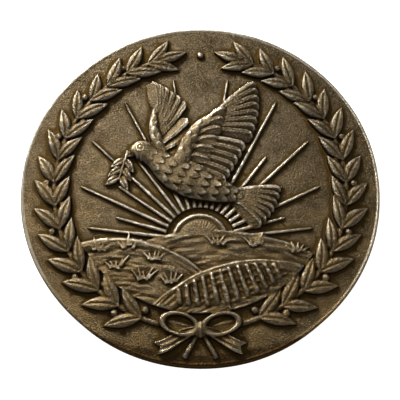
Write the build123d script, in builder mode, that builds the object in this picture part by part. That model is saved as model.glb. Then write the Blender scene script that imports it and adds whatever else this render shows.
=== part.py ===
"""Round cast bronze commemorative medal, lying on its plain reverse.

One casting, so one solid: a thick disc with a rounded rim, and on its upper face a raised design of a dove
with an olive sprig, wings spread, over a rising sun and hills, inside a laurel wreath tied with a ribbon bow.

Millimetres. The origin is the centre of the flat reverse, +Z points out of the face and +Y to its top.
"""

from build123d import *

import os
from collections import namedtuple
from math import cos, degrees, radians, sin, sqrt

# Disc and rim
medal_diameter = 60.0
edge_thickness = 4.4  # from the reverse to the crest of the rim
field_drop = 0.12  # the field lies this far under the crest of the rim
rim_width = 0.55  # from the side wall to the foot of the rim's inner slope
shoulder_radius = 0.3  # rounding from the side wall to the crest
crest_width = 0.1  # flat top of the rim
reverse_edge_radius = 0.35

# Raised forms are drawn with the field at Z = 0, and each reaches this far down into the disc
root_depth = 0.5

# Laurel wreath
wreath_inset = 5.7  # from the side wall to the middle of the stems
wreath_gap = 36.0  # degrees between the stems' upper ends
bow_span = 12.0  # degrees from the bottom to the first leaves
stem_width = 0.9
stem_rise = 0.45
stub_length = 5.0  # cut stem ends under the bow, from its middle
stub_splay = 30.0  # degrees from straight down
stub_edge = 0.15
leaf_length = 6.0
leaf_width = 2.2
leaf_middle = 0.45  # share of the length where the leaf is widest
leaf_rise = 0.9
leaf_edge = 0.4
leaf_splay = 31.0  # degrees between leaf and stem
leaf_pitch = 4.1  # along the stem
end_leaf_root = 0.6  # the end leaf starts this far back from the stem's end
berry_radius = 0.7
berry_offset = 1.3  # from the middle of the stem
berry_lift = 0.1  # its middle above the field

# Ribbon bow
knot_width = 2.5
knot_height = 2.9
knot_rise = 1.4
ribbon_rise = 1.05
ribbon_edge = 0.2
loop_band = 1.0  # the ribbon seen on edge round a loop
loop_length = 6.6
loop_height = 3.7
loop_tilt = 14.0  # degrees
tail_length = 7.4
tail_width = 1.9
tail_drop = 22.0  # degrees under the horizontal
tail_notch = 0.8

# Rising sun
sun_radius = 4.7
sun_rise = 0.55
sun_drop = 10.2  # from the middle of the medal down to the middle of the sun
ray_count = 19
ray_width = 0.8
ray_rise = 0.40
ray_edge = 0.15
ray_gap = 1.0  # from the sun's edge to the rays
ray_margin = 4.4  # from the rays' outer ends to the stems
ray_lowest = 7.0  # degrees above the horizontal
short_ray_share = 0.6  # every second ray, over the full length

# Hills
hill_margin = 2.4  # from the hills' outer edge to the stems
hill_edge = 0.2
furrow_count = 12
furrow_width = 0.9
furrow_rise = 1.25
furrow_edge = 0.2
furrow_crest_gap = 0.7  # from the nearest hill's crest
furrow_first = 86.0  # degrees from +X about the middle of the nearest mound
furrow_step = 3.5  # degrees
furrow_fan = 0.8  # how far the furrows open out down the slope, over the spread of their upper ends
furrow_margin = 1.0  # from the furrows' lower ends to the hills' outer edge

# Dove, its length from beak to rump, and the place of its middle
dove_length = 20.0
dove_x = -0.4
dove_y = 0.6
dove_rise = 1.8  # the highest of the whole design
quill_width = 2.1
covert_width = 1.7
tail_feather_width = 1.9
feather_taper = 0.6  # width at the root over the full width
feather_edge = 0.2
feather_step = 0.12  # every second feather stands this much higher
eye_radius = 0.35
eye_x = -0.485  # share of dove_length, as body rows
eye_y = 0.262
eye_lift = 1.35

# Olive sprig in the beak
sprig_length = 5.4
sprig_angle = 256.0  # degrees from +X
sprig_back = 1.0  # from the stalk's end to the tip of the beak
sprig_width = 0.6
sprig_rise = 0.7
sprig_edge = 0.15
sprig_leaf_length = 3.0
sprig_leaf_width = 1.4
sprig_splay = 42.0  # degrees

medal_radius = medal_diameter / 2
field_level = edge_thickness - field_drop
wreath_radius = medal_radius - wreath_inset
hill_radius = wreath_radius - hill_margin
ray_end_radius = wreath_radius - ray_margin
roots = Plane.XY.offset(-root_depth)

BodyRow = namedtuple("BodyRow", "x y half_width rise")
FeatherRow = namedtuple("FeatherRow", "x y angle length rise")
HillRow = namedtuple("HillRow", "x top radius rise")

# Places and half widths in shares of dove_length, from the middle of the dove, and rises in shares
# of dove_rise
body_rows = (
    BodyRow(-0.606, 0.200, 0.012, 0.30),
    BodyRow(-0.562, 0.222, 0.034, 0.46),
    BodyRow(-0.528, 0.238, 0.074, 0.74),
    BodyRow(-0.462, 0.243, 0.096, 0.84),
    BodyRow(-0.370, 0.186, 0.092, 0.78),
    BodyRow(-0.220, 0.075, 0.146, 0.94),
    BodyRow(-0.050, -0.020, 0.160, 1.00),
    BodyRow(0.130, -0.095, 0.125, 0.90),
    BodyRow(0.280, -0.145, 0.080, 0.72),
    BodyRow(0.370, -0.170, 0.050, 0.52),
)
near_arm_rows = (
    BodyRow(-0.150, 0.040, 0.050, 0.80),
    BodyRow(-0.130, 0.160, 0.085, 1.00),
    BodyRow(-0.070, 0.330, 0.075, 0.98),
    BodyRow(0.020, 0.470, 0.060, 0.88),
    BodyRow(0.140, 0.570, 0.040, 0.72),
    BodyRow(0.260, 0.640, 0.022, 0.54),
)
far_arm_rows = (
    BodyRow(-0.270, 0.150, 0.045, 0.50),
    BodyRow(-0.330, 0.300, 0.060, 0.62),
    BodyRow(-0.375, 0.450, 0.050, 0.58),
    BodyRow(-0.375, 0.580, 0.036, 0.48),
    BodyRow(-0.350, 0.690, 0.020, 0.36),
)


def fan(count, first, last):
    """Feather rows spread evenly from the first row to the last."""
    shares = [k / (count - 1) for k in range(count)]
    return [FeatherRow(*(a + (b - a) * share for a, b in zip(first, last))) for share in shares]


# Places, lengths and rises in the same shares, and degrees from +X
far_feathers = fan(
    6,
    FeatherRow(-0.360, 0.590, 98.0, 0.330, 0.26),
    FeatherRow(-0.330, 0.400, 58.0, 0.390, 0.26),
) + fan(
    3,
    FeatherRow(-0.320, 0.320, 47.0, 0.330, 0.38),
    FeatherRow(-0.280, 0.200, 33.0, 0.290, 0.38),
)
near_feathers = fan(
    8,
    FeatherRow(0.150, 0.575, 40.0, 0.480, 0.42),
    FeatherRow(0.030, 0.420, -6.0, 0.440, 0.42),
) + fan(
    6,
    FeatherRow(0.010, 0.350, -12.0, 0.400, 0.56),
    FeatherRow(-0.080, 0.090, -24.0, 0.340, 0.56),
)
near_coverts = fan(
    7,
    FeatherRow(0.090, 0.530, 32.0, 0.180, 0.72),
    FeatherRow(-0.120, 0.120, -26.0, 0.200, 0.72),
)
tail_feathers = fan(
    7,
    FeatherRow(0.270, -0.185, -46.0, 0.340, 0.36),
    FeatherRow(0.300, -0.125, 2.0, 0.390, 0.36),
)

# Crest and radius of each mound in shares of hill_radius, and its rise above the field
hill_rows = (
    HillRow(0.10, -0.38, 1.60, 0.60),
    HillRow(-0.62, -0.44, 0.95, 0.80),
    HillRow(0.45, -0.60, 1.10, 1.00),
)


def on_circle(radius, angle):
    """A point on a circle about the medal's middle, the angle in degrees from +X."""
    return radius * cos(radians(angle)), radius * sin(radians(angle))


def raised(outline, rise, edge):
    """A form of this outline, from the roots up to its rise above the field, its top edges chamfered."""
    with BuildPart() as form:
        with BuildSketch(roots):
            add(outline)
        extrude(amount=root_depth + rise)
        chamfer(form.faces().sort_by(Axis.Z)[-1].edges(), edge)
    return form.part


def leaf(length, width, rise, edge):
    """A pointed leaf along +X from the origin."""
    with BuildSketch() as outline:
        with BuildLine():
            upper = ThreePointArc((0, 0), (leaf_middle * length, width / 2), (length, 0))
            mirror(upper, about=Plane.XZ)
        make_face()
    return raised(outline.sketch, rise, edge)


def quill(length, root_width, width, rise, edge):
    """A feather or a ray along +X from the origin, with a round end."""
    with BuildSketch() as outline:
        with BuildLine():
            root = Line((0, -root_width / 2), (0, root_width / 2))
            side = Line(root @ 1, (length - width / 2, width / 2))
            tip = RadiusArc(side @ 1, (length - width / 2, -width / 2), width / 2)
            Line(tip @ 1, root @ 0)
        make_face()
    return raised(outline.sketch, rise, edge)


def feathers(rows, width):
    """Quills set out by feather rows."""
    made = []
    for k, row in enumerate(rows):
        rise = row.rise * dove_rise + (feather_step if k % 2 else 0)
        feather = quill(row.length * dove_length, feather_taper * width, width, rise, feather_edge)
        place = (dove_x + row.x * dove_length, dove_y + row.y * dove_length)
        made.append(feather.moved(Location(place, row.angle)))
    return made


def limb(rows):
    """A rounded body through body rows, its section an arc over a flat foot at the roots."""
    places = [Vector(dove_x + row.x * dove_length, dove_y + row.y * dove_length) for row in rows]
    with BuildPart() as solid:
        for k, row in enumerate(rows):
            step = places[min(k + 1, len(rows) - 1)] - places[max(k - 1, 0)]
            half = row.half_width * dove_length
            with BuildSketch(Plane(places[k], (-step.Y, step.X, 0), step)):
                with BuildLine():
                    top = ThreePointArc((-half, -root_depth), (0, row.rise * dove_rise), (half, -root_depth))
                    Line(top @ 1, top @ 0)
                make_face()
        loft(ruled=True)
    return solid.part


# Disc
with BuildPart() as disc:
    with BuildSketch(Plane.XZ):
        with BuildLine():
            foot = Line((0, 0), (medal_radius - reverse_edge_radius, 0))
            corner = RadiusArc(foot @ 1, (medal_radius, reverse_edge_radius), -reverse_edge_radius)
            wall = Line(corner @ 1, (medal_radius, edge_thickness - shoulder_radius))
            crest_edge = medal_radius - shoulder_radius
            shoulder = RadiusArc(wall @ 1, (crest_edge, edge_thickness), -shoulder_radius)
            crest = Line(shoulder @ 1, (crest_edge - crest_width, edge_thickness))
            slope = Line(crest @ 1, (medal_radius - rim_width, field_level))
            top = Line(slope @ 1, (0, field_level))
            Line(top @ 1, foot @ 0)
        make_face()
    revolve(axis=Axis.Z)

# Laurel wreath: the right branch, mirrored to the left, and a berry over the gap
laurel_leaf = leaf(leaf_length, leaf_width, leaf_rise, leaf_edge)
stem_end = 90 - wreath_gap / 2
pair_step = degrees(leaf_pitch / wreath_radius)
pair_count = int((90 + stem_end - bow_span) / pair_step)
pair_angles = [stem_end - (k + 0.5) * pair_step for k in range(pair_count)]
end_leaf_angle = stem_end - degrees(end_leaf_root / wreath_radius)
leaf_places = [Location(on_circle(wreath_radius, end_leaf_angle), end_leaf_angle + 90)]
berry_places = []
for k, angle in enumerate(pair_angles):
    for turn in (-leaf_splay, leaf_splay):
        leaf_places.append(Location(on_circle(wreath_radius, angle), angle + 90 + turn))
    outward = berry_offset if k % 2 else -berry_offset
    berry_places.append(Location((*on_circle(wreath_radius + outward, angle), berry_lift)))
with BuildPart() as berry:
    Sphere(berry_radius)
with BuildPart() as branch:
    with BuildSketch(Plane((0, 0, 0), (0, -1, 0), (-1, 0, 0))):
        with Locations((wreath_radius, -root_depth)):
            Rectangle(stem_width, root_depth + stem_rise, align=(Align.CENTER, Align.MIN))
    revolve(axis=Axis.Z, revolution_arc=90 + stem_end)
    leaves = [laurel_leaf.moved(place) for place in leaf_places]
    berries = [berry.part.moved(place) for place in berry_places]
    add(leaves + berries)
top_berry = berry.part.moved(Location((0, wreath_radius, berry_lift)))
wreath = [branch.part, branch.part.mirror(Plane.YZ), top_berry]

# Ribbon bow: the right loop, tail and cut stem end, mirrored, and the knot over them
stub = quill(stub_length, stem_width, stem_width, stem_rise, stub_edge)
with BuildPart() as knot:
    Sphere(0.5)
    scale(by=(knot_width, knot_height, 2 * knot_rise))
with BuildPart() as bow:
    with BuildSketch(roots):
        with Locations(Location((0, -wreath_radius), loop_tilt)):
            with Locations((loop_length / 2, 0)):
                Ellipse(loop_length / 2, loop_height / 2)
                Ellipse(loop_length / 2 - loop_band, loop_height / 2 - loop_band, mode=Mode.SUBTRACT)
        with Locations(Location((0, -wreath_radius), -tail_drop)):
            Polygon(
                (0, -tail_width / 2),
                (tail_length, -tail_width / 2),
                (tail_length - tail_notch, 0),
                (tail_length, tail_width / 2),
                (0, tail_width / 2),
                align=None,
            )
    extrude(amount=root_depth + ribbon_rise)
    chamfer(bow.faces().sort_by(Axis.Z)[-1].edges(), ribbon_edge)
    with Locations(Location((0, -wreath_radius), stub_splay - 90)):
        add(stub)
    mirror(about=Plane.YZ)
    with Locations((0, -wreath_radius)):
        add(knot.part)

# Rising sun and its rays
with BuildPart() as sun:
    dome_height = sun_rise + root_depth
    dome_radius = (sun_radius**2 + dome_height**2) / (2 * dome_height)
    with BuildSketch(Plane.XZ):
        with BuildLine():
            base = Line((0, -root_depth), (sun_radius, -root_depth))
            dome = RadiusArc(base @ 1, (0, sun_rise), -dome_radius)
            Line(dome @ 1, base @ 0)
        make_face()
    revolve(axis=Axis.Z)
ray_start = sun_radius + ray_gap
rays = []
for k in range(ray_count):
    angle = ray_lowest + (180 - 2 * ray_lowest) * k / (ray_count - 1)
    rise, run = sun_drop * sin(radians(angle)), sun_drop * cos(radians(angle))
    full_length = rise + sqrt(ray_end_radius**2 - run**2) - ray_start
    ray = quill(full_length * (short_ray_share if k % 2 else 1), ray_width, ray_width, ray_rise, ray_edge)
    rays.append(ray.moved(Location(on_circle(ray_start, angle), angle)))
with BuildPart() as sunrise:
    with Locations((0, -sun_drop)):
        add([sun.part] + rays)

# Hills, the furthest first, with furrows running down the nearest
hill_parts = []
for row in hill_rows:
    with BuildPart() as hill:
        with BuildSketch(roots):
            Circle(hill_radius)
            with Locations((row.x * hill_radius, (row.top - row.radius) * hill_radius)):
                Circle(row.radius * hill_radius, mode=Mode.INTERSECT)
        extrude(amount=root_depth + row.rise)
        chamfer(hill.faces().sort_by(Axis.Z)[-1].edges(), hill_edge)
    hill_parts.append(hill.part)
near = hill_rows[-1]
furrow_middle = furrow_first + furrow_step * (furrow_count - 1) / 2
furrows = []
for k in range(furrow_count):
    angle = furrow_first + k * furrow_step
    heading = furrow_middle + 180 - furrow_fan * (angle - furrow_middle)
    x, y = on_circle(near.radius * hill_radius - furrow_crest_gap, angle)
    x, y = near.x * hill_radius + x, (near.top - near.radius) * hill_radius + y
    along = x * cos(radians(heading)) + y * sin(radians(heading))
    length = sqrt(along**2 - x**2 - y**2 + (hill_radius - furrow_margin) ** 2) - along
    furrow = quill(length, furrow_width, furrow_width, furrow_rise, furrow_edge)
    furrows.append(furrow.moved(Location((x, y), heading)))
with BuildPart() as hills:
    add(hill_parts + furrows)

# Dove and olive sprig
beak = body_rows[0]
beak_place = (dove_x + beak.x * dove_length, dove_y + beak.y * dove_length)
sprig_leaf = leaf(sprig_leaf_length, sprig_leaf_width, sprig_rise, sprig_edge)
sprig = [quill(sprig_length, sprig_width, sprig_width, sprig_rise, sprig_edge)]
for share in (0.25, 0.55, 0.85):
    for turn in (-sprig_splay, sprig_splay):
        sprig.append(sprig_leaf.moved(Location((share * sprig_length, 0), turn)))
with BuildPart() as plumage:
    add(feathers(far_feathers + near_feathers, quill_width))
    add(feathers(near_coverts, covert_width) + feathers(tail_feathers, tail_feather_width))
with BuildPart() as dove:
    add([limb(body_rows), limb(near_arm_rows), limb(far_arm_rows)])
    add(plumage.part)
    with Locations(Location(beak_place, sprig_angle)):
        with Locations((-sprig_back, 0)):
            add(sprig)
    with Locations((dove_x + eye_x * dove_length, dove_y + eye_y * dove_length, eye_lift)):
        Sphere(eye_radius)

with BuildPart() as medal:
    add(disc.part)
    with Locations((0, 0, field_level)):
        add(wreath + [bow.part, sunrise.part, hills.part, dove.part])
medal.part.label = "medal"

os.makedirs("parts", exist_ok=True)
export_step(medal.part, "parts/medal.step")
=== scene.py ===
"""Looks of a round cast bronze commemorative medal, lying on its plain reverse.

The casting is modelled in millimetres: a turned disc with its rim and, rooted in it, the raised lumps of a
laurel wreath with a ribbon bow, a sun rising over hills, and a dove with an olive sprig. The lumps are fused
into one skin and softened as a sand mould softens its pattern. The skin is then measured for hollows, where
dark patina gathers, and for crests, where hands rub it away. Sizes and tables are the ones of the solid
model.
"""

import random
from collections import namedtuple
from math import atan2, cos, degrees, exp, floor, pi, radians, sin, sqrt, tau

import bmesh
import bpy
import numpy as np
from mathutils import Matrix, Vector, noise


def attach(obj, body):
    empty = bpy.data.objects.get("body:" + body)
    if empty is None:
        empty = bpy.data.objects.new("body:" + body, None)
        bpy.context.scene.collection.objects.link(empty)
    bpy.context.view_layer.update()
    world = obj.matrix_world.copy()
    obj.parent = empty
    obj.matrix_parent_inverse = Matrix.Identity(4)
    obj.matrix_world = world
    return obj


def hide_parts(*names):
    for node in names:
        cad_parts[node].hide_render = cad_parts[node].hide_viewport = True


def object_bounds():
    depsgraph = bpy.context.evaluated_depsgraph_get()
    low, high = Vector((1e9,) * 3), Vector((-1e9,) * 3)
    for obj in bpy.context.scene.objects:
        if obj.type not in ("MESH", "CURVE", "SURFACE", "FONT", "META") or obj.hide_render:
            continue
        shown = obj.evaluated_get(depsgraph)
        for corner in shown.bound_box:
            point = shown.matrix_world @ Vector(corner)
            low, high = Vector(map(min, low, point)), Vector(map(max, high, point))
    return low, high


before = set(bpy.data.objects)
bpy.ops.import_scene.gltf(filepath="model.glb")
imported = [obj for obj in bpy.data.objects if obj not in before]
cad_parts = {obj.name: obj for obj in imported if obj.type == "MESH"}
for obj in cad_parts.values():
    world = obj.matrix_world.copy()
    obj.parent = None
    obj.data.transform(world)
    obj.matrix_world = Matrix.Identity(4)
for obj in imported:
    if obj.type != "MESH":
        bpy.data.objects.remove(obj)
cad_low, cad_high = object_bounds()

MM = 0.001

# Disc and rim
medal_radius = round((cad_high[0] - cad_low[0]) / 2 / MM, 2)
edge_thickness = 4.4
field_drop = 0.12  # the field lies this far under the crest of the rim
rim_width = 0.55
shoulder_radius = 0.3
crest_width = 0.1
reverse_edge_radius = 0.35
root_depth = 0.5

# Laurel wreath
wreath_inset = 5.7  # from the side wall to the middle of the stems
wreath_gap = 36.0
bow_span = 12.0
stem_width = 0.9
stem_rise = 0.45
leaf_length = 6.0
leaf_width = 2.2
leaf_rise = 0.9
leaf_splay = 31.0
leaf_pitch = 4.1
end_leaf_root = 0.6
berry_radius = 0.7
berry_offset = 1.3

# Ribbon bow
knot_width = 2.5
knot_height = 2.9
knot_rise = 1.4
ribbon_rise = 1.05
loop_length = 6.6
loop_height = 3.7
loop_tilt = 14.0
tail_length = 7.4
tail_width = 1.9
tail_drop = 22.0
tail_notch = 0.8
stub_length = 5.0
stub_splay = 30.0

# Rising sun
sun_radius = 4.7
sun_rise = 0.55
sun_drop = 10.2
ray_count = 19
ray_width = 0.8
ray_rise = 0.40
ray_gap = 1.0
ray_margin = 4.4  # from the rays' outer ends to the stems
ray_lowest = 7.0
short_ray_share = 0.6

# Hills
hill_margin = 2.4  # from the hills' outer edge to the stems
settled_share = 0.66  # what a mound keeps of its rise away from its crest
furrow_count = 12
furrow_width = 0.9
furrow_rise = 1.25
furrow_crest_gap = 0.7
furrow_first = 86.0
furrow_step = 3.5
furrow_fan = 0.8
furrow_margin = 1.0  # from the furrows' lower ends to the hills' outer edge

# Dove
dove_length = 20.0
dove_x = -0.4
dove_y = 0.6
dove_rise = 1.8
quill_width = 2.1
covert_width = 1.7
tail_feather_width = 1.9
eye_radius = 0.35
eye_x = -0.485
eye_y = 0.262

# Olive sprig
sprig_length = 5.4
sprig_angle = 256.0
sprig_back = 1.0
sprig_width = 0.6
sprig_rise = 0.7
sprig_leaf_length = 3.0
sprig_leaf_width = 1.4
sprig_splay = 42.0

# Worked out from the sizes above
field_level = edge_thickness - field_drop
wreath_radius = medal_radius - wreath_inset
ray_end_radius = wreath_radius - ray_margin
hill_radius = wreath_radius - hill_margin

# Skin of the casting
skin_cell = 0.10
skin_triangles = 190000
narrow_spare = 0.12  # what softening takes off the backs of the rays
wave_height = 0.028
wave_lengths = (2.3, 3.9, 7.0)
wave_level = 3.2  # the face waves above this height
wave_fade = 0.6
edge_unevenness = 0.14  # how far the hand-dressed edge falls short of a true circle, at most
edge_band = 1.5  # how far in from the edge its dressing begins
edge_fade = 1.3

# Measures taken of the face
face_level = 3.0  # the face is all that lies above this height
face_margin = 1.2  # a band at the rim that isn't measured
map_margin = 1.0  # a bare band round the medal in its height map
map_depth = 1.2  # the map's floor, under the crest of the rim
hollow_spreads = {"fine_hollow": 0.30, "broad_hollow": 1.2}

BodyRow = namedtuple("BodyRow", "x y half_width rise")
FeatherRow = namedtuple("FeatherRow", "x y angle length rise")
HillRow = namedtuple("HillRow", "x top radius rise")
TuftRow = namedtuple("TuftRow", "x y ground")

body_rows = (
    BodyRow(-0.606, 0.200, 0.012, 0.30),
    BodyRow(-0.562, 0.222, 0.034, 0.46),
    BodyRow(-0.528, 0.238, 0.074, 0.74),
    BodyRow(-0.462, 0.243, 0.096, 0.84),
    BodyRow(-0.370, 0.186, 0.092, 0.78),
    BodyRow(-0.220, 0.075, 0.146, 0.94),
    BodyRow(-0.050, -0.020, 0.160, 1.00),
    BodyRow(0.130, -0.095, 0.125, 0.90),
    BodyRow(0.280, -0.145, 0.080, 0.72),
    BodyRow(0.370, -0.170, 0.050, 0.52),
)
near_arm_rows = (
    BodyRow(-0.150, 0.040, 0.050, 0.80),
    BodyRow(-0.130, 0.160, 0.085, 1.00),
    BodyRow(-0.070, 0.330, 0.075, 0.98),
    BodyRow(0.020, 0.470, 0.060, 0.88),
    BodyRow(0.140, 0.570, 0.040, 0.72),
    BodyRow(0.260, 0.640, 0.022, 0.54),
)
far_arm_rows = (
    BodyRow(-0.270, 0.150, 0.045, 0.50),
    BodyRow(-0.330, 0.300, 0.060, 0.62),
    BodyRow(-0.375, 0.450, 0.050, 0.58),
    BodyRow(-0.375, 0.580, 0.036, 0.48),
    BodyRow(-0.350, 0.690, 0.020, 0.36),
)
hill_rows = (
    HillRow(0.10, -0.38, 1.60, 0.60),
    HillRow(-0.62, -0.44, 0.95, 0.80),
    HillRow(0.45, -0.60, 1.10, 1.00),
)
tuft_rows = (
    TuftRow(-16.2, -11.9, 0.80),
    TuftRow(-13.4, -14.6, 0.80),
    TuftRow(-11.6, -11.2, 0.80),
    TuftRow(-8.9, -16.6, 0.80),
    TuftRow(-7.4, -13.2, 0.80),
    TuftRow(-4.6, -16.9, 0.80),
    TuftRow(2.8, -10.6, 0.60),
    TuftRow(8.9, -11.0, 0.60),
    TuftRow(15.6, -11.8, 0.60),
)


def fan(count, first, last):
    """Feather rows spread evenly from the first row to the last."""
    shares = [k / (count - 1) for k in range(count)]
    return [FeatherRow(*(a + (b - a) * share for a, b in zip(first, last))) for share in shares]


far_feathers = fan(6, FeatherRow(-0.360, 0.590, 98, 0.330, 0.26), FeatherRow(-0.330, 0.400, 58, 0.390, 0.26))
far_coverts = fan(3, FeatherRow(-0.320, 0.320, 47, 0.330, 0.38), FeatherRow(-0.280, 0.200, 33, 0.290, 0.38))
near_feathers = fan(8, FeatherRow(0.150, 0.575, 40, 0.480, 0.42), FeatherRow(0.030, 0.420, -6, 0.440, 0.42))
near_seconds = fan(6, FeatherRow(0.010, 0.350, -12, 0.400, 0.56), FeatherRow(-0.080, 0.090, -24, 0.340, 0.56))
near_coverts = fan(7, FeatherRow(0.090, 0.530, 32, 0.180, 0.72), FeatherRow(-0.120, 0.120, -26, 0.200, 0.72))
tail_feathers = fan(7, FeatherRow(0.270, -0.185, -46, 0.340, 0.36), FeatherRow(0.300, -0.125, 2, 0.390, 0.36))

hand = random.Random(7)
casting = bmesh.new()
FLIP = Matrix.Scale(-1, 4, Vector((1, 0, 0)))


def ease(share):
    """A smooth step from 0 to 1 over shares 0 to 1."""
    share = min(max(share, 0.0), 1.0)
    return share * share * (3 - 2 * share)


def bump(offset, width):
    """A soft ridge of height 1 at offset 0."""
    return exp(-((offset / width) ** 2))


def half_round(v):
    """The height of a half-round bar across its width, as a share of the height of its back."""
    return 0.45 + 0.55 * sqrt(1 - v * v)


def on_circle(radius, angle):
    """A point on a circle about the medal's middle, the angle in degrees from +X."""
    return radius * cos(radians(angle)), radius * sin(radians(angle))


def disc_point(u, v):
    """A square's point carried to the unit disc, so that a round form has no pole."""
    return u * sqrt(1 - v * v / 2), v * sqrt(1 - u * u / 2)


def at(x, y, angle=0.0):
    """The place on the field of a lump made about its own origin."""
    return Matrix.Translation((x, y, field_level)) @ Matrix.Rotation(radians(angle), 4, "Z")


def lump(along, across, shape):
    """A closed lump rooted in the disc, its upper face laid out by shape(u, v), with u and v from -1 to 1."""
    form = bmesh.new()
    bmesh.ops.create_grid(form, x_segments=along, y_segments=across, size=1)
    lower = set(form.verts)
    bmesh.ops.extrude_face_region(form, geom=form.faces[:])
    for v in form.verts:
        x, y, z = shape(v.co.x, v.co.y)
        v.co = x, y, -root_depth if v in lower else z
    return form


def pour(form, place):
    """Adds a lump to the casting at its place."""
    pattern = bpy.data.meshes.new("pattern")
    form.to_mesh(pattern)
    form.free()
    first = len(casting.verts)
    casting.from_mesh(pattern)
    casting.verts.ensure_lookup_table()
    bmesh.ops.transform(casting, matrix=place, verts=casting.verts[first:])
    bpy.data.meshes.remove(pattern)


def between(rows, share):
    """The row at a share of the table, on a smooth curve through its rows."""
    place = min(max(share, 0.0), 1.0) * (len(rows) - 1)
    k = min(int(place), len(rows) - 2)
    f = place - k
    near = [rows[min(max(i, 0), len(rows) - 1)] for i in range(k - 1, k + 3)]
    blend = (
        (-f + 2 * f**2 - f**3) / 2,
        (2 - 5 * f**2 + 3 * f**3) / 2,
        (f + 4 * f**2 - 3 * f**3) / 2,
        (-(f**2) + f**3) / 2,
    )
    return BodyRow(*(sum(b * row[i] for b, row in zip(blend, near)) for i in range(4)))


def disc():
    """The disc turned from half its section."""
    corner_steps = 6
    turn_steps = 360
    turns = [k / corner_steps * pi / 2 for k in range(corner_steps + 1)]
    corner = medal_radius - shoulder_radius
    low = medal_radius - reverse_edge_radius
    profile = [
        (0, field_level),
        (medal_radius - rim_width, field_level),
        (corner - crest_width, edge_thickness),
    ]
    for turn in turns:
        drop = shoulder_radius * (1 - cos(turn))
        profile.append((corner + shoulder_radius * sin(turn), edge_thickness - drop))
    for turn in turns:
        profile.append((low + reverse_edge_radius * cos(turn), reverse_edge_radius * (1 - sin(turn))))
    profile.append((0, 0))
    form = bmesh.new()
    verts = [form.verts.new((r, 0, z)) for r, z in profile]
    edges = [form.edges.new(pair) for pair in zip(verts, verts[1:])]
    bmesh.ops.spin(
        form,
        geom=verts + edges,
        cent=(0, 0, 0),
        axis=(0, 0, 1),
        angle=tau,
        steps=turn_steps,
        use_merge=True,
    )
    bmesh.ops.remove_doubles(form, verts=form.verts[:], dist=1e-5)
    pour(form, Matrix.Identity(4))


def laurel_leaf(length, width, rise, bend):
    """A full leaf with a cut midrib and side veins, its tip turned a little down."""
    midrib_depth = 0.20
    midrib_width = 0.17
    vein_depth = 0.07
    vein_pitch = 1.05
    vein_slant = 1.1

    def shape(u, v):
        t = (u + 1) / 2
        half = width / 2 * sin(pi * t**0.87) ** 0.9 if 0 < t < 1 else 0.0
        x = length * t
        y = v * half + bend * 4 * t * (1 - t)
        body = 0.50 + 0.50 * sqrt(max(0.0, 1 - abs(v) ** 2.2))
        z = rise * body * (0.70 + 0.30 * sin(pi * t) - 0.12 * ease((t - 0.6) / 0.4))
        z -= midrib_depth * bump(v * half, midrib_width) * ease(t / 0.1) * ease((0.95 - t) / 0.15)
        side = abs(v) * half
        veins = max(0.0, cos(tau * (x - vein_slant * side) / vein_pitch)) ** 3
        z -= vein_depth * veins * ease(side / 0.3) * ease((1 - abs(v)) / 0.3)
        return x, y, z

    return lump(26, 14, shape)


def band(radius, start, end, width, rise):
    """A half-round stem bent along a circle, its bark a little uneven."""
    bark_depth = 0.05
    bark_scale = 1.3

    def shape(u, v):
        angle = start + (end - start) * (u + 1) / 2
        x, y = on_circle(radius + v * width / 2, angle)
        return x, y, rise * half_round(v) + bark_depth * noise.noise(Vector((x, y, 0)) * bark_scale)

    return lump(180, 6, shape)


def berry():
    """A round berry with a small navel."""
    navel_depth = 0.16
    navel_width = 0.16
    form = bmesh.new()
    bmesh.ops.create_icosphere(form, subdivisions=3, radius=berry_radius)
    for v in form.verts:
        v.co.z -= navel_depth * bump(Vector(v.co.xy).length, navel_width) if v.co.z > 0 else 0
    return form


def wreath():
    """Two branches from the bow, mirror images in the large and each leaf a little its own."""
    stem_end = 90 - wreath_gap / 2
    pair_step = degrees(leaf_pitch / wreath_radius)
    pair_count = int((90 + stem_end - bow_span) / pair_step)
    for side in (Matrix.Identity(4), FLIP):
        pour(band(wreath_radius, -90, stem_end, stem_width, stem_rise), side @ at(0, 0))
        end = stem_end - degrees(end_leaf_root / wreath_radius)
        leaf = laurel_leaf(leaf_length, leaf_width, leaf_rise, bend=0)
        pour(leaf, side @ at(*on_circle(wreath_radius, end), end + 90))
        for k in range(pair_count):
            angle = stem_end - (k + 0.5) * pair_step
            for turn in (-1, 1):
                leaf = laurel_leaf(
                    length=leaf_length * hand.uniform(0.95, 1.04),
                    width=leaf_width * hand.uniform(0.94, 1.06),
                    rise=leaf_rise * hand.uniform(0.92, 1.05),
                    bend=-turn * hand.uniform(0.05, 0.35),
                )
                tilt = turn * leaf_splay + hand.uniform(-3, 3)
                pour(leaf, side @ at(*on_circle(wreath_radius, angle), angle + 90 + tilt))
            outward = berry_offset if k % 2 else -berry_offset
            pour(berry(), side @ at(*on_circle(wreath_radius + outward, angle)))
    pour(berry(), at(0, wreath_radius))


def ribbon_loop():
    """A loop of the bow: ribbon on edge round it, and gathers running from the knot inside."""
    inside = 0.58  # share of the loop's radius that its ribbon leaves open
    inside_level = 0.42
    gather_count = 13
    gather_depth = 0.10
    hem_rise = 0.12

    def shape(u, v):
        x, y = disc_point(u, v)
        r = sqrt(x * x + y * y)
        angle = atan2(y, x + 1.05)
        wall = ease((r - inside) / 0.16)
        gathers = gather_depth * cos(angle * gather_count) * ease((1 - r) / 0.3)
        z = ribbon_rise * (inside_level + (1 - inside_level) * wall) + gathers * (1 - wall)
        z += hem_rise * bump(r - 0.86, 0.12) - 0.2 * ease((r - 0.93) / 0.07)
        return loop_length / 2 * (1 + x), loop_height / 2 * y, z

    return lump(40, 28, shape)


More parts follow.
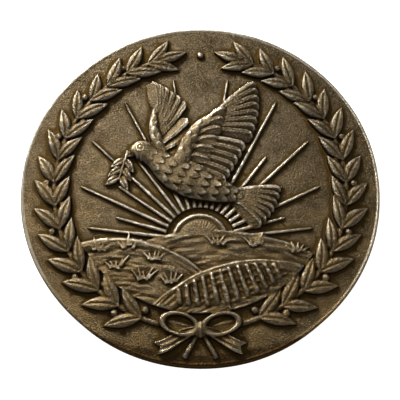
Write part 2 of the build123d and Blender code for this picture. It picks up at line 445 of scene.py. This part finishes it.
def ribbon_tail():
    """A notched ribbon end, with a slow wave and a fold along its middle."""
    sway = 0.25
    wave_depth = 0.16
    fold_depth = 0.13

    def shape(u, v):
        t = (u + 1) / 2
        x = t * (tail_length - tail_notch * (1 - abs(v)) * t)
        y = v * tail_width / 2 * (0.55 + 0.45 * ease(t / 0.5)) + sway * sin(tau * t * 0.9)
        z = ribbon_rise * (0.78 + wave_depth * sin(tau * t * 1.4 + 0.6))
        z += fold_depth * cos(v * 7) * (1 - 0.4 * t)
        return x, y, z - 0.12 * ease((abs(v) - 0.85) / 0.15)

    return lump(34, 14, shape)


def knot():
    """The bow's knot, drawn in by two upright folds."""
    fold_depth = 0.13
    fold_width = 0.12

    def shape(u, v):
        x, y = disc_point(u, v)
        z = knot_rise * sqrt(max(0.0, 1 - x * x - y * y)) ** 0.8
        z -= fold_depth * bump(x - 0.30, fold_width) + fold_depth * bump(x + 0.28, fold_width)
        return knot_width / 2 * x, knot_height / 2 * y, z

    return lump(20, 20, shape)


def stub():
    """A cut stem end under the bow."""

    def shape(u, v):
        t = (u + 1) / 2
        y = v * stem_width / 2 * (0.85 + 0.15 * t)
        return stub_length * t, y, stem_rise * (0.6 + 0.6 * sqrt(1 - v * v))

    return lump(16, 6, shape)


def bow():
    """Loops, tails and cut stem ends on each side, and the knot over them."""
    for side in (Matrix.Identity(4), FLIP):
        pour(stub(), side @ at(0, -wreath_radius, stub_splay - 90))
        pour(ribbon_tail(), side @ at(0, -wreath_radius, -tail_drop))
        pour(ribbon_loop(), side @ at(0, -wreath_radius, loop_tilt))
    pour(knot(), at(0, -wreath_radius))


def sun():
    """A low dome with a raised ring, a groove inside it and short strokes within."""
    ring = 0.93  # shares of the sun's radius
    groove = 0.80
    ring_rise = 0.16
    groove_depth = 0.14
    stroke_count = 40
    stroke_depth = 0.06

    def shape(u, v):
        x, y = disc_point(u, v)
        r = sqrt(x * x + y * y)
        angle = atan2(y, x)
        z = sun_rise * (1.1 - 0.55 * r**2) - 0.5 * ease(1.0 - sun_radius * y)
        z += ring_rise * bump(r - ring, 0.05) - groove_depth * bump(r - groove, 0.05)
        z += stroke_depth * cos(angle * stroke_count) * ease((r - 0.35) / 0.2) * ease((0.78 - r) / 0.08)
        return sun_radius * x, sun_radius * y, z

    return lump(70, 70, shape)


def ray(length):
    """A tapering ray with a rounded back and a rounded end."""
    end_length = 0.5

    def shape(u, v):
        t = (u + 1) / 2
        tip = sqrt(max(0.0, 1 - ease((t * length - length + end_length) / end_length) ** 2))
        half = ray_width / 2 * (1.0 - 0.42 * t) * (0.35 + 0.65 * tip)
        z = (ray_rise + narrow_spare) * half_round(v) * (1 - 0.25 * t)
        return length * t, v * half, z

    return lump(24, 6, shape)


def sunrise():
    """The sun with its long and short rays by turns."""
    pour(sun(), at(0, -sun_drop))
    start = sun_radius + ray_gap
    for k in range(ray_count):
        angle = ray_lowest + (180 - 2 * ray_lowest) * k / (ray_count - 1)
        rise = sun_drop * sin(radians(angle))
        run = sun_drop * cos(radians(angle))
        length = (rise + sqrt(ray_end_radius**2 - run**2) - start) * (short_ray_share if k % 2 else 1)
        x, y = on_circle(start, angle)
        pour(ray(length), at(x, y - sun_drop, angle))


def hill_height(row, fall):
    """The height of a mound at a distance below its crest, rounded over at the crest itself."""
    settling = settled_share + (1 - settled_share) * exp(-fall / 1.6)
    return row.rise * settling * (1 - 0.35 * ease(1 - fall / 0.35))


def hill(row):
    """A mound cut off by the hills' outer circle, rolling down from its crest, with rough ground."""
    roll_depth = 0.14
    stroke_depth = 0.22
    cx = row.x * hill_radius
    cy = (row.top - row.radius) * hill_radius
    r = row.radius * hill_radius
    gap = sqrt(cx * cx + cy * cy)
    reach = (hill_radius**2 - r * r + gap * gap) / (2 * gap)
    half = sqrt(hill_radius**2 - reach**2)
    ends = sorted((reach * cx + side * half * cy) / gap for side in (-1, 1))

    def shape(u, v):
        x = ends[0] + (ends[1] - ends[0]) * (u + 1) / 2
        crest = cy + sqrt(max(0.0, r * r - (x - cx) ** 2))
        base = -sqrt(max(0.0, hill_radius**2 - x * x))
        y = base + (crest - base) * (v + 1) / 2
        fall = crest - y
        roll = noise.noise(Vector((x * 0.45, fall * 0.9, row.rise * 7)))
        strokes = noise.noise(Vector((x * 0.40, fall * 2.1 + 0.05 * x, row.rise * 3)))
        return x, y, hill_height(row, fall) + roll_depth * roll + stroke_depth * strokes * ease(fall / 0.8)

    return lump(120, 50, shape)


def furrow(row, length, bend):
    """A ploughed ridge down a mound, wider towards its foot and broken a little along its back."""
    clod_depth = 0.12
    sunk = 0.12  # how far the ridge's sides lie under the ground
    spare = 0.20  # what that and softening take off the ridge's back

    def shape(u, v):
        t = (u + 1) / 2
        x = length * t
        ends = sqrt(max(0.0, 1 - (2 * t - 1) ** 8))
        y = v * furrow_width / 2 * (0.9 + 0.5 * t) * (0.3 + 0.7 * ends) + bend * t * t
        clods = clod_depth * noise.noise(Vector((x * 1.6, v, bend * 9)))
        ridge = (furrow_rise - row.rise + spare) * sqrt(1 - v * v) * ends
        return x, y, hill_height(row, furrow_crest_gap + x) - sunk + ridge + clods

    return lump(34, 8, shape)


def grass(height, lean, ground):
    """A blade of grass along +X, pointed and leaning to one side."""
    half_width = 0.24
    root_rise = 0.32
    tip_drop = 0.14

    def shape(u, v):
        t = (u + 1) / 2
        return height * t, v * half_width * (1 - 0.65 * t) + lean * t * t, ground + root_rise - tip_drop * t

    return lump(8, 2, shape)


def furrows(row):
    """Furrows down a mound, spread like a fan and ending short of the hills' outer circle."""
    middle = furrow_first + furrow_step * (furrow_count - 1) / 2
    for k in range(furrow_count):
        angle = furrow_first + k * furrow_step
        heading = middle + 180 - furrow_fan * (angle - middle)
        x, y = on_circle(row.radius * hill_radius - furrow_crest_gap, angle)
        x, y = row.x * hill_radius + x, (row.top - row.radius) * hill_radius + y
        along = x * cos(radians(heading)) + y * sin(radians(heading))
        length = sqrt(along**2 - x**2 - y**2 + (hill_radius - furrow_margin) ** 2) - along
        pour(furrow(row, length, 0.5 * (k / (furrow_count - 1) - 0.5)), at(x, y, heading))


def tuft(row):
    """A tuft of grass, its blades spread like a fan."""
    blade_count = 5
    blade_gap = 0.38
    blade_turn = 15
    blade_lean = 0.22
    for k in range(blade_count):
        offset = k - (blade_count - 1) / 2
        lean = -offset * blade_lean + hand.uniform(-0.25, 0.25)
        form = grass(hand.uniform(1.2, 2.4), lean, row.ground * settled_share)
        root = at(row.x + offset * blade_gap, row.y + hand.uniform(-0.4, 0.2), 90 - blade_turn * offset)
        pour(form, root)


def hills():
    """Three mounds, the furthest first, with furrows down the nearest and tufts of grass on the others."""
    for row in hill_rows:
        pour(hill(row), at(0, 0))
    furrows(hill_rows[-1])
    for row in tuft_rows:
        tuft(row)


def feather(length, width, rise, tilt):
    """A feather along +X, one edge higher than the other so that a row of them overlaps like tiles."""
    tip_length = 0.62 * width
    crown = 0.08
    barb_depth = 0.045
    barb_pitch = 0.62
    quill_rise = 0.14
    quill_place = 0.25 * width * (1 if tilt > 0 else -1)

    def shape(u, v):
        t = (u + 1) / 2
        x = length * t
        tip = sqrt(max(0.0, 1 - max(0.0, (x - length + tip_length) / tip_length) ** 2))
        y = v * width / 2 * (0.6 + 0.4 * ease(t / 0.5)) * tip * 1.08
        barbs = cos(tau * (x - 0.9 * abs(y)) / barb_pitch) * ease(abs(y) / 0.25) * ease((1 - abs(v)) / 0.2)
        z = rise + tilt * v + crown * (1 - v * v) + barb_depth * barbs
        z += quill_rise * bump(y - quill_place * ease(t / 0.4), 0.11)
        return x, y, z - 0.14 * ease((t - 0.75) / 0.25)

    return lump(max(14, int(length * 3.2)), 12, shape)


def feathers(rows, width, tilt):
    """A row of feathers."""
    for row in rows:
        form = feather(row.length * dove_length, width, row.rise * dove_rise, tilt)
        pour(form, at(dove_x + row.x * dove_length, dove_y + row.y * dove_length, row.angle))


def down(along, across):
    """The height of small body feathers that overlap like scales, each row shifted by half a feather."""
    row = floor(along) - 1
    offset = across + row / 2
    offset -= floor(offset) + 0.5
    a = along - row
    if a >= 1 + 0.6 * (1 - (2 * offset) ** 2):
        a -= 1
    return a - 0.8 - 0.5 * offset * offset


def limb(rows, along, across, first_down, down_depth, detail=None):
    """A rounded body through body rows, with small feathers from the share first_down of its length on."""
    down_length = 1.25
    down_width = 1.45
    reach = Vector((rows[-1].x - rows[0].x, rows[-1].y - rows[0].y)).length * dove_length

    def shape(u, v):
        t = (u + 1) / 2
        row = between(rows, t)
        ahead = between(rows, t + 0.01)
        behind = between(rows, t - 0.01)
        step = Vector((ahead.x - behind.x, ahead.y - behind.y)).normalized()
        side = v * row.half_width * dove_length
        x = dove_x + row.x * dove_length - step.y * side
        y = dove_y + row.y * dove_length + step.x * side
        z = row.rise * dove_rise * (0.34 + 0.66 * sqrt(max(0.0, 1 - abs(v) ** 2.3)))
        scales = down(t * reach / down_length, side / down_width)
        z += down_depth * scales * ease((t - first_down) / 0.25) * ease((1 - abs(v)) / 0.15)
        if detail:
            z += detail(t, v)
        return x, y, z

    return lump(along, across, shape)


def head(t, v):
    """The small swelling at the beak's root and the line between its halves."""
    swelling = 0.12 * bump(t - 0.135, 0.02) * bump(v - 0.5, 0.4)
    line = 0.18 * bump(v + 0.10, 0.25) * ease((0.12 - t) / 0.03)
    return swelling - line


def eye():
    """A round eye in a thin raised lid."""
    socket_radius = 2.2 * eye_radius
    eye_level = 1.36
    ball_rise = 0.36
    lid_rise = 0.28

    def shape(u, v):
        x, y = disc_point(u, v)
        r = sqrt(x * x + y * y)
        ball = ball_rise * sqrt(max(0.0, 1 - (r / 0.5) ** 2))
        return socket_radius * x, socket_radius * y, eye_level + ball + lid_rise * bump(r - 0.85, 0.15)

    return lump(16, 16, shape)


def sprig():
    """An olive sprig along +X with leaves in pairs, as forms and their places."""

    def stalk(u, v):
        t = (u + 1) / 2
        z = sprig_rise * (0.5 + 0.45 * sqrt(1 - v * v))
        return sprig_length * t, v * sprig_width / 2 * (1 - 0.5 * t), z

    forms = [(lump(24, 6, stalk), Matrix.Identity(4))]
    for share in (0.25, 0.55, 0.85):
        for turn in (-sprig_splay, sprig_splay):
            leaf = laurel_leaf(sprig_leaf_length, sprig_leaf_width, sprig_rise * 1.1, bend=0)
            root = Matrix.Translation((share * sprig_length, 0, 0))
            forms.append((leaf, root @ Matrix.Rotation(radians(turn), 4, "Z")))
    return forms


def dove():
    """The dove, far wing first, and the sprig in its beak."""
    feathers(far_feathers, quill_width, tilt=-0.26)
    feathers(far_coverts, quill_width, tilt=-0.34)
    pour(limb(far_arm_rows, 60, 20, first_down=0.0, down_depth=0.15), at(0, 0))
    feathers(tail_feathers, tail_feather_width, tilt=0.36)
    feathers(near_feathers, quill_width, tilt=0.38)
    feathers(near_seconds, quill_width, tilt=0.34)
    feathers(near_coverts, covert_width, tilt=0.20)
    pour(limb(near_arm_rows, 90, 36, first_down=0.0, down_depth=0.15), at(0, 0))
    pour(limb(body_rows, 170, 60, first_down=0.34, down_depth=0.22, detail=head), at(0, 0))
    pour(eye(), at(dove_x + eye_x * dove_length, dove_y + eye_y * dove_length))
    beak = body_rows[0]
    root = at(dove_x + beak.x * dove_length, dove_y + beak.y * dove_length, sprig_angle)
    root = root @ Matrix.Translation((-sprig_back, 0, 0))
    for form, place in sprig():
        pour(form, root @ place)


def coordinates(mesh):
    """The places of a mesh's vertices."""
    places = np.empty(len(mesh.vertices) * 3, np.float32)
    mesh.vertices.foreach_get("co", places)
    return places.reshape(-1, 3).astype(float)


def move_to(mesh, places):
    """Moves a mesh's vertices to their new places."""
    mesh.vertices.foreach_set("co", places.astype(np.float32).ravel())


def with_modifier(mesh, kind, **settings):
    """The mesh after one modifier."""
    piece = bpy.data.objects.new("work", mesh)
    bpy.context.scene.collection.objects.link(piece)
    modifier = piece.modifiers.new(kind.title(), kind)
    for name, value in settings.items():
        setattr(modifier, name, value)
    bpy.context.view_layer.update()
    result = bpy.data.meshes.new_from_object(piece.evaluated_get(bpy.context.evaluated_depsgraph_get()))
    bpy.data.objects.remove(piece)
    bpy.data.meshes.remove(mesh)
    return result


def drop_flakes(mesh):
    """Deletes the lone flat faces that thinning leaves of the smallest voids inside the casting."""
    form = bmesh.new()
    form.from_mesh(mesh)
    bmesh.ops.delete(form, geom=[v for v in form.verts if len(v.link_edges) < 3], context="VERTS")
    form.to_mesh(mesh)
    form.free()


def waviness(x, y):
    """A hand-dressed surface: long shallow waves in chance directions, from -1 to 1 or so."""
    directions = 3
    total = 0
    for length in wave_lengths:
        for _ in range(directions):
            angle = hand.uniform(0, tau)
            phase = hand.uniform(0, tau)
            total = total + np.sin((x * cos(angle) + y * sin(angle)) * tau / length + phase)
    return total / sqrt(directions * len(wave_lengths))


def dress(places):
    """Waves the face a little and files the edge unevenly, as work by hand leaves them."""
    x, y, z = places.T
    face = np.clip((z - wave_level) / wave_fade, 0, 1)
    places[:, 2] = z + face * wave_height * waviness(x, y)
    radius = np.hypot(x, y)
    angle = np.arctan2(y, x)
    filed = edge_unevenness * (0.5 + 0.3 * np.sin(3 * angle + 0.7) + 0.2 * np.sin(8 * angle + 2.0))
    filed = filed * np.clip((radius - medal_radius + edge_band) / edge_fade, 0, 1)
    dressed = np.minimum(radius - filed, medal_radius)
    never_nought = np.maximum(radius, skin_cell / 100)
    places[:, :2] *= (dressed / never_nought)[:, None]


def soften(heights, spread):
    """A height map blurred by a bell curve, its spread in cells."""
    reach = int(3 * spread)
    weights = [exp(-((k / spread) ** 2) / 2) for k in range(-reach, reach + 1)]
    for axis in (0, 1):
        padding = [(reach, reach) if a == axis else (0, 0) for a in (0, 1)]
        padded = np.pad(heights, padding, mode="edge")
        length = heights.shape[axis]
        shifted = (np.take(padded, range(k, k + length), axis) for k in range(len(weights)))
        heights = sum(weight * layer for weight, layer in zip(weights, shifted)) / sum(weights)
    return heights


def height_map(places):
    """The height of the face over a square grid of cells, with gaps in it filled from the cells around."""
    cells = int(2 * (medal_radius + map_margin) / skin_cell)
    spots = ((places[:, :2] + medal_radius + map_margin) / skin_cell).astype(int)
    column, row = np.clip(spots, 0, cells - 1).T
    heights = np.zeros((cells, cells))
    np.maximum.at(heights, (row, column), places[:, 2])
    for _ in range(4):
        empty = heights < 1
        around = np.max([np.roll(heights, shift, axis) for shift in (-1, 1) for axis in (0, 1)], 0)
        heights[empty] = around[empty]
    return np.maximum(heights, edge_thickness - map_depth)


def read_map(heights, places):
    """The map's height at each place, from the four cells about it."""
    spot = (places[:, :2] + medal_radius + map_margin) / skin_cell - 0.5
    low = np.clip(spot.astype(int), 0, heights.shape[0] - 2)
    fx, fy = (spot - low).T
    column, row = low.T
    upper = heights[row + 1, column] * (1 - fx) + heights[row + 1, column + 1] * fx
    lower = heights[row, column] * (1 - fx) + heights[row, column + 1] * fx
    return upper * fy + lower * (1 - fy)


def mark(mesh, name, values):
    """Keeps one number for each vertex on the mesh."""
    mesh.attributes.new(name, "FLOAT", "POINT").data.foreach_set("value", values.astype(np.float32))


def fused_skin():
    """All lumps as one softened skin."""
    for part in (disc, wreath, bow, sunrise, hills, dove):
        part()
    bmesh.ops.recalc_face_normals(casting, faces=casting.faces[:])
    mesh = bpy.data.meshes.new("casting")
    casting.to_mesh(mesh)
    casting.free()
    mesh = with_modifier(mesh, "REMESH", mode="VOXEL", voxel_size=skin_cell)
    return with_modifier(mesh, "SMOOTH", factor=0.5, iterations=2)


def thinned(mesh):
    """The skin with no more triangles than it may have, and no higher than the solid."""
    triangles = sum(len(face.vertices) - 2 for face in mesh.polygons)
    if triangles > skin_triangles:
        mesh = with_modifier(mesh, "DECIMATE", ratio=skin_triangles / triangles)
    drop_flakes(mesh)
    places = coordinates(mesh)
    places[:, 2] = np.clip(places[:, 2], 0, cad_high[2] / MM)
    move_to(mesh, places)
    return mesh


def measure(mesh, heights):
    """Marks the face with its hollows, fine and broad, and with its steepness."""
    places = coordinates(mesh)
    inside = np.hypot(places[:, 0], places[:, 1]) < medal_radius - face_margin
    shown = (places[:, 2] > face_level) * inside
    for name, spread in hollow_spreads.items():
        mark(mesh, name, shown * (read_map(soften(heights, spread / skin_cell), places) - places[:, 2]))
    normals = np.empty(len(mesh.vertices) * 3, np.float32)
    mesh.vertex_normals.foreach_get("vector", normals)
    mark(mesh, "steepness", shown * (1 - normals[2::3]))


def cast():
    """The medal in one piece, in metres, marked with its hollows and crests."""
    mesh = fused_skin()
    places = coordinates(mesh)
    dress(places)
    move_to(mesh, places)
    heights = height_map(places)
    mesh = thinned(mesh)
    measure(mesh, heights)
    mesh.transform(Matrix.Scale(MM, 4))
    mesh.polygons.foreach_set("use_smooth", [True] * len(mesh.polygons))
    mesh.update()
    piece = bpy.data.objects.new("medal_casting", mesh)
    bpy.context.scene.collection.objects.link(piece)
    return piece


class Socket:
    """A node's output, for shader sums and products written as plain expressions."""

    def __init__(self, finish, output):
        self.finish = finish
        self.output = output

    def maths(self, operation, first, second):
        return self.finish.node("ShaderNodeMath", {"operation": operation}, {0: first, 1: second})

    def beside(self, output):
        """Another output of the same node."""
        return Socket(self.finish, self.output.node.outputs[output])

    def __add__(self, other):
        return self.maths("ADD", self, other)

    def __sub__(self, other):
        return self.maths("SUBTRACT", self, other)

    def __rsub__(self, other):
        return self.maths("SUBTRACT", other, self)

    def __mul__(self, other):
        return self.maths("MULTIPLY", self, other)

    __radd__ = __add__
    __rmul__ = __mul__


class Finish:
    """A material made of shader nodes."""

    def __init__(self, name):
        self.material = bpy.data.materials.new(name)
        self.material.use_nodes = True
        self.tree = self.material.node_tree
        self.tree.nodes.clear()

    def node(self, kind, settings=None, inputs=None, output=0):
        """Adds a node, with its settings first and then the values or links of its sockets."""
        made = self.tree.nodes.new(kind)
        for name, value in (settings or {}).items():
            setattr(made, name, value)
        for name, value in (inputs or {}).items():
            if isinstance(value, Socket):
                self.tree.links.new(value.output, made.inputs[name])
            else:
                made.inputs[name].default_value = value
        return Socket(self, made.outputs[output]) if made.outputs else None

    def marked(self, name):
        """A number kept on the mesh."""
        return self.node("ShaderNodeAttribute", {"attribute_name": name}, None, "Fac")

    def grain(self, place, scale, detail=2.0, roughness=0.5):
        """Noise, with scale in cells to the millimetre."""
        inputs = {"Vector": place, "Scale": scale, "Detail": detail, "Roughness": roughness}
        return self.node("ShaderNodeTexNoise", None, inputs)

    def step(self, value, low, high):
        """A smooth step of a value from 0 at low to 1 at high."""
        inputs = {"Value": value, "From Min": low, "From Max": high}
        return self.node("ShaderNodeMapRange", {"interpolation_type": "SMOOTHSTEP"}, inputs)

    def distance(self, place, middle):
        """The distance of a place from an upright line through the middle, in plan."""
        flat = self.node("ShaderNodeVectorMath", {"operation": "MULTIPLY"}, {0: place, 1: (1, 1, 0)})
        return self.node("ShaderNodeVectorMath", {"operation": "DISTANCE"}, {0: flat, 1: middle}, "Value")

    def mix(self, share, first, second):
        """Two colours mixed. The node's colour sockets go by number, as their names aren't their own."""
        return self.node("ShaderNodeMix", {"data_type": "RGBA"}, {0: share, 6: first, 7: second}, 2)


def bronze():
    """Dark brown patinated bronze: sandy skin, black in the hollows, rubbed to pale brass on the crests."""
    sand_dark = (0.038, 0.026, 0.011, 1)
    sand_light = (0.118, 0.089, 0.053, 1)
    handled_brown = (0.170, 0.134, 0.084, 1)
    rust_brown = (0.180, 0.116, 0.046, 1)
    speck_brass = (0.30, 0.23, 0.14, 1)
    # painted shade along the lowest edge
    edge_shade_black = (0.022, 0.011, 0.003, 1)
    shade_brown = (0.056, 0.034, 0.010, 1)
    groove_brown = (0.054, 0.031, 0.008, 1)
    raised_brass = (0.54, 0.395, 0.200, 1)
    # patina and painted shade on steep flanks
    flank_patina_shade_brown = (0.040, 0.022, 0.005, 1)
    worn_brass = (0.74, 0.66, 0.52, 1)
    # rubbed rim, partly a painted highlight
    rim_wear_highlight_brass = (0.42, 0.37, 0.28, 1)
    # side wall: dark patina, partly painted shade
    wall_patina_shade_dark = (0.012, 0.007, 0.002, 1)
    wall_patina_shade_light = (0.040, 0.025, 0.011, 1)
    gloss_tint = (0.50, 0.42, 0.30, 1)
    pit_depth = 0.09 * MM
    edge_shade_middle = (0, 21.8, 0)
    edge_shade_start = 49.9  # the painted shade lies beyond this distance from its middle, along the lowest edge
    edge_shade_full = 50.8
    rim_line_start = medal_radius - 0.72
    rim_line_full = medal_radius - 0.58

    finish = Finish("patinated_bronze")
    spot = finish.node("ShaderNodeTexCoord", None, None, "Object")
    place = finish.node("ShaderNodeVectorMath", {"operation": "SCALE"}, {0: spot, "Scale": 1 / MM})
    north = finish.node("ShaderNodeSeparateXYZ", None, {"Vector": place}, "Y")
    height = north.beside("Z")
    radius = finish.distance(place, (0, 0, 0))
    fine_hollow = finish.marked("fine_hollow")
    broad_hollow = finish.marked("broad_hollow")
    steepness = finish.marked("steepness")

    # Chance patterns, from the largest to the smallest
    rust = finish.step(finish.grain(place, 0.22, 2.0), 0.44, 0.66)
    blotches = finish.grain(place, 0.30, 3.0)
    mottle = finish.grain(place, 1.4, 3.0)
    sand = finish.grain(place, 3.8, 2.0, 0.6)
    dust = finish.grain(place, 7.0, 1.0)

    # The skin of the field: handled in its middle, rusty towards its foot, with painted shade along the
    # lowest edge
    tone = finish.step(blotches * 0.4 + mottle * 0.35 + sand * 1.1 + dust * 0.7, 1.04, 1.51)
    colour = finish.mix(tone, sand_dark, sand_light)
    handled = finish.step(20.0 - radius + blotches * 10.0, 0.0, 14.0)
    colour = finish.mix(handled * 0.25, colour, handled_brown)
    foot = finish.step(0.0 - north, -24.0, 30.0)
    colour = finish.mix(foot * (0.30 + rust * 0.45), colour, rust_brown)
    specks = finish.step(sand * 0.6 + dust * 0.4, 0.54, 0.62)
    colour = finish.mix(specks * 0.38, colour, speck_brass)
    # Painted shade: a dark crescent along the lowest edge of the face, standing in for the shadow there
    edge_shade = finish.step(finish.distance(place, edge_shade_middle) + blotches * 1.6, edge_shade_start, edge_shade_full)
    colour = finish.mix(edge_shade * 0.85, colour, edge_shade_black)

    # Patina in the hollows
    groove = finish.step(fine_hollow + sand * 0.08 - 0.04, 0.005, 0.095)
    shade = finish.step(broad_hollow, 0.05, 0.55)
    colour = finish.mix(shade * 0.50, colour, shade_brown)
    colour = finish.mix(groove * 0.94, colour, groove_brown)

    # Wear on the raised forms and their crests, with dark patina and painted shade on their steep flanks
    raised = finish.step(0.0 - broad_hollow, 0.20, 1.0)
    rubbed = finish.step(0.0 - fine_hollow + mottle * 0.06 - 0.03, 0.015, 0.13)
    # Crests rubbed most in the middle and least towards the bottom, which keeps the bottom darker
    touched = 0.50 + handled * 0.92 - foot * 0.25
    worn = rubbed * touched * (0.08 + mottle * 0.55 + raised * 0.55)
    colour = finish.mix(raised * touched, colour, raised_brass)
    # The steep flanks darkened: partly patina, partly painted shade on the forms' sides
    flank_patina_shade = finish.step(steepness, 0.18, 0.55)
    colour = finish.mix(flank_patina_shade * 0.75, colour, flank_patina_shade_brown)
    colour = finish.mix(worn, colour, worn_brass)

    # The rim, pale but for its lowest part, partly a painted highlight; and the dark side wall, partly
    # painted shade
    side = finish.step(edge_thickness - height, 0.10, 0.30)
    # Pale line round the rim: rubbed metal and partly a painted highlight on its shoulder, left off the
    # lowest part
    rim = finish.step(radius, rim_line_start, rim_line_full)
    lowest = finish.step(0.0 - north, 10.0, 23.0)
    colour = finish.mix(rim * (0.66 - lowest * 0.66), colour, rim_wear_highlight_brass)
    # The side wall darkened and made matte: dark patina and partly painted shade, so it doesn't mirror the
    # bright floor
    colour = finish.mix(side, colour, finish.mix(tone, wall_patina_shade_dark, wall_patina_shade_light))

    roughness = 0.38 - rubbed * 0.10 - raised * 0.11 + groove * 0.15 + sand * 0.08
    pits = (mottle * 0.35 + sand * 1.2 + dust * 0.8) * (1.0 - raised * 0.45)
    normal = finish.node("ShaderNodeBump", None, {"Strength": 1.0, "Distance": pit_depth, "Height": pits})
    surface = finish.node(
        "ShaderNodeBsdfPrincipled",
        None,
        {
            "Base Color": colour,
            "Metallic": 1.0 - side,
            "Specular IOR Level": 0.0,
            "Roughness": roughness,
            "Specular Tint": gloss_tint,
            "Coat Weight": worn * 0.6,
            "Coat Roughness": 0.16,
            "Normal": normal,
        },
    )
    finish.node("ShaderNodeOutputMaterial", None, {"Surface": surface})
    return finish.material


def pale_paper():
    """White paper that glows a little, so that the medal throws no shadow on it."""
    finish = Finish("pale_paper")
    surface = finish.node(
        "ShaderNodeBsdfPrincipled",
        None,
        {
            "Base Color": (0.80, 0.80, 0.80, 1),
            "Roughness": 0.9,
            "Emission Color": (1, 1, 1, 1),
            "Emission Strength": 1.0,
        },
    )
    finish.node("ShaderNodeOutputMaterial", None, {"Surface": surface})
    return finish.material


def floor_sheet():
    """A plain pale sheet, a hair under the medal."""
    half_width = 1.5
    gap = 0.00002
    form = bmesh.new()
    bmesh.ops.create_grid(form, x_segments=1, y_segments=1, size=half_width)
    bmesh.ops.translate(form, vec=(0, 0, -gap), verts=form.verts[:])
    mesh = bpy.data.meshes.new("floor")
    form.to_mesh(mesh)
    form.free()
    mesh.materials.append(pale_paper())
    piece = bpy.data.objects.new("floor", mesh)
    bpy.context.scene.collection.objects.link(piece)


def lamp(name, place, size, power):
    """A square soft light turned to the medal, its place and size in metres."""
    light = bpy.data.lights.new(name, "AREA")
    light.shape = "SQUARE"
    light.size = size
    light.energy = power
    piece = bpy.data.objects.new(name, light)
    piece.location = place
    piece.rotation_euler = (-Vector(place)).to_track_quat("-Z", "Y").to_euler()
    bpy.context.scene.collection.objects.link(piece)


def studio():
    """A low key light from the upper left, a wide weak one from above, and an even dim room."""
    lamp("key", place=(-0.28, 0.48, 0.26), size=0.16, power=6.1)
    lamp("fill", place=(0.05, 0.36, 0.76), size=0.60, power=1.3)
    world = bpy.data.worlds.new("room")
    world.use_nodes = True
    background = world.node_tree.nodes["Background"]
    background.inputs["Color"].default_value = (1, 1, 1, 1)
    background.inputs["Strength"].default_value = 0.21
    bpy.context.scene.world = world
    bpy.context.scene.view_settings.view_transform = "Standard"


def camera():
    """The camera, at the angle and the size in the frame that the photograph has."""
    elevation = radians(70.56)
    distance = 107 * MM
    focal_length = 58.04
    aim = Vector((-0.07, -2.95, 4.0)) * MM
    back = Vector((0, -cos(elevation), sin(elevation)))
    lens = bpy.data.cameras.new("camera")
    lens.sensor_width = 36
    lens.lens = focal_length
    lens.clip_start = 0.01
    piece = bpy.data.objects.new("camera", lens)
    piece.location = aim + back * distance
    piece.rotation_euler = back.to_track_quat("Z", "Y").to_euler()
    bpy.context.scene.collection.objects.link(piece)
    bpy.context.scene.camera = piece


medal = cast()
medal.data.materials.append(bronze())
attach(medal, "root")
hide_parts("medal")
floor_sheet()
studio()
camera()
